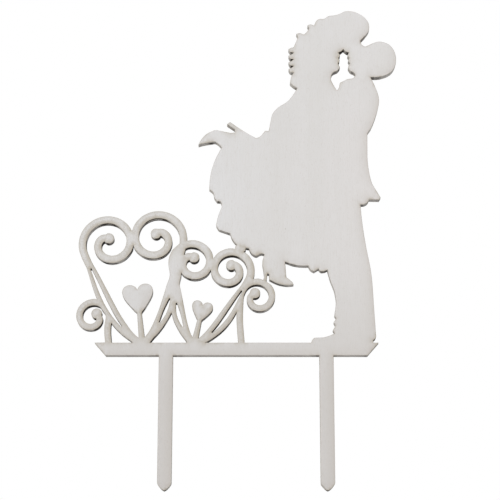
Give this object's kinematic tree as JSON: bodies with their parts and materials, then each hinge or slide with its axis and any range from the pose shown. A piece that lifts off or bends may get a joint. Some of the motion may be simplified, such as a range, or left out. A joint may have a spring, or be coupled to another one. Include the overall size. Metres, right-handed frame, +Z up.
{
  "type": "wedding cake topper",
  "caption": "Flat plywood cake topper: dancing couple silhouette and scrolled hearts on a bar, with pointed stakes that push into the cake.",
  "frame": {"origin": "middle of the bar's underside, at mid thickness of the sheet", "axes": "+Z up from the cake, +X to the right seen from the front, the front face looks towards -Y"},
  "size_m": [0.1164, 0.003, 0.1798],
  "materials": {
    "face_veneer": "pale sanded basswood with laser-browned edges",
    "core_veneer": "basswood core, seen only on the laser-browned cut edge",
    "glue_line": "cured adhesive film, dark on the cut edge"
  },
  "bodies": {
    "root": {"front_veneer": "face_veneer", "front_glue_line": "glue_line", "core_veneer": "core_veneer", "back_glue_line": "glue_line", "back_veneer": "face_veneer"}
  },
  "joints": []
}
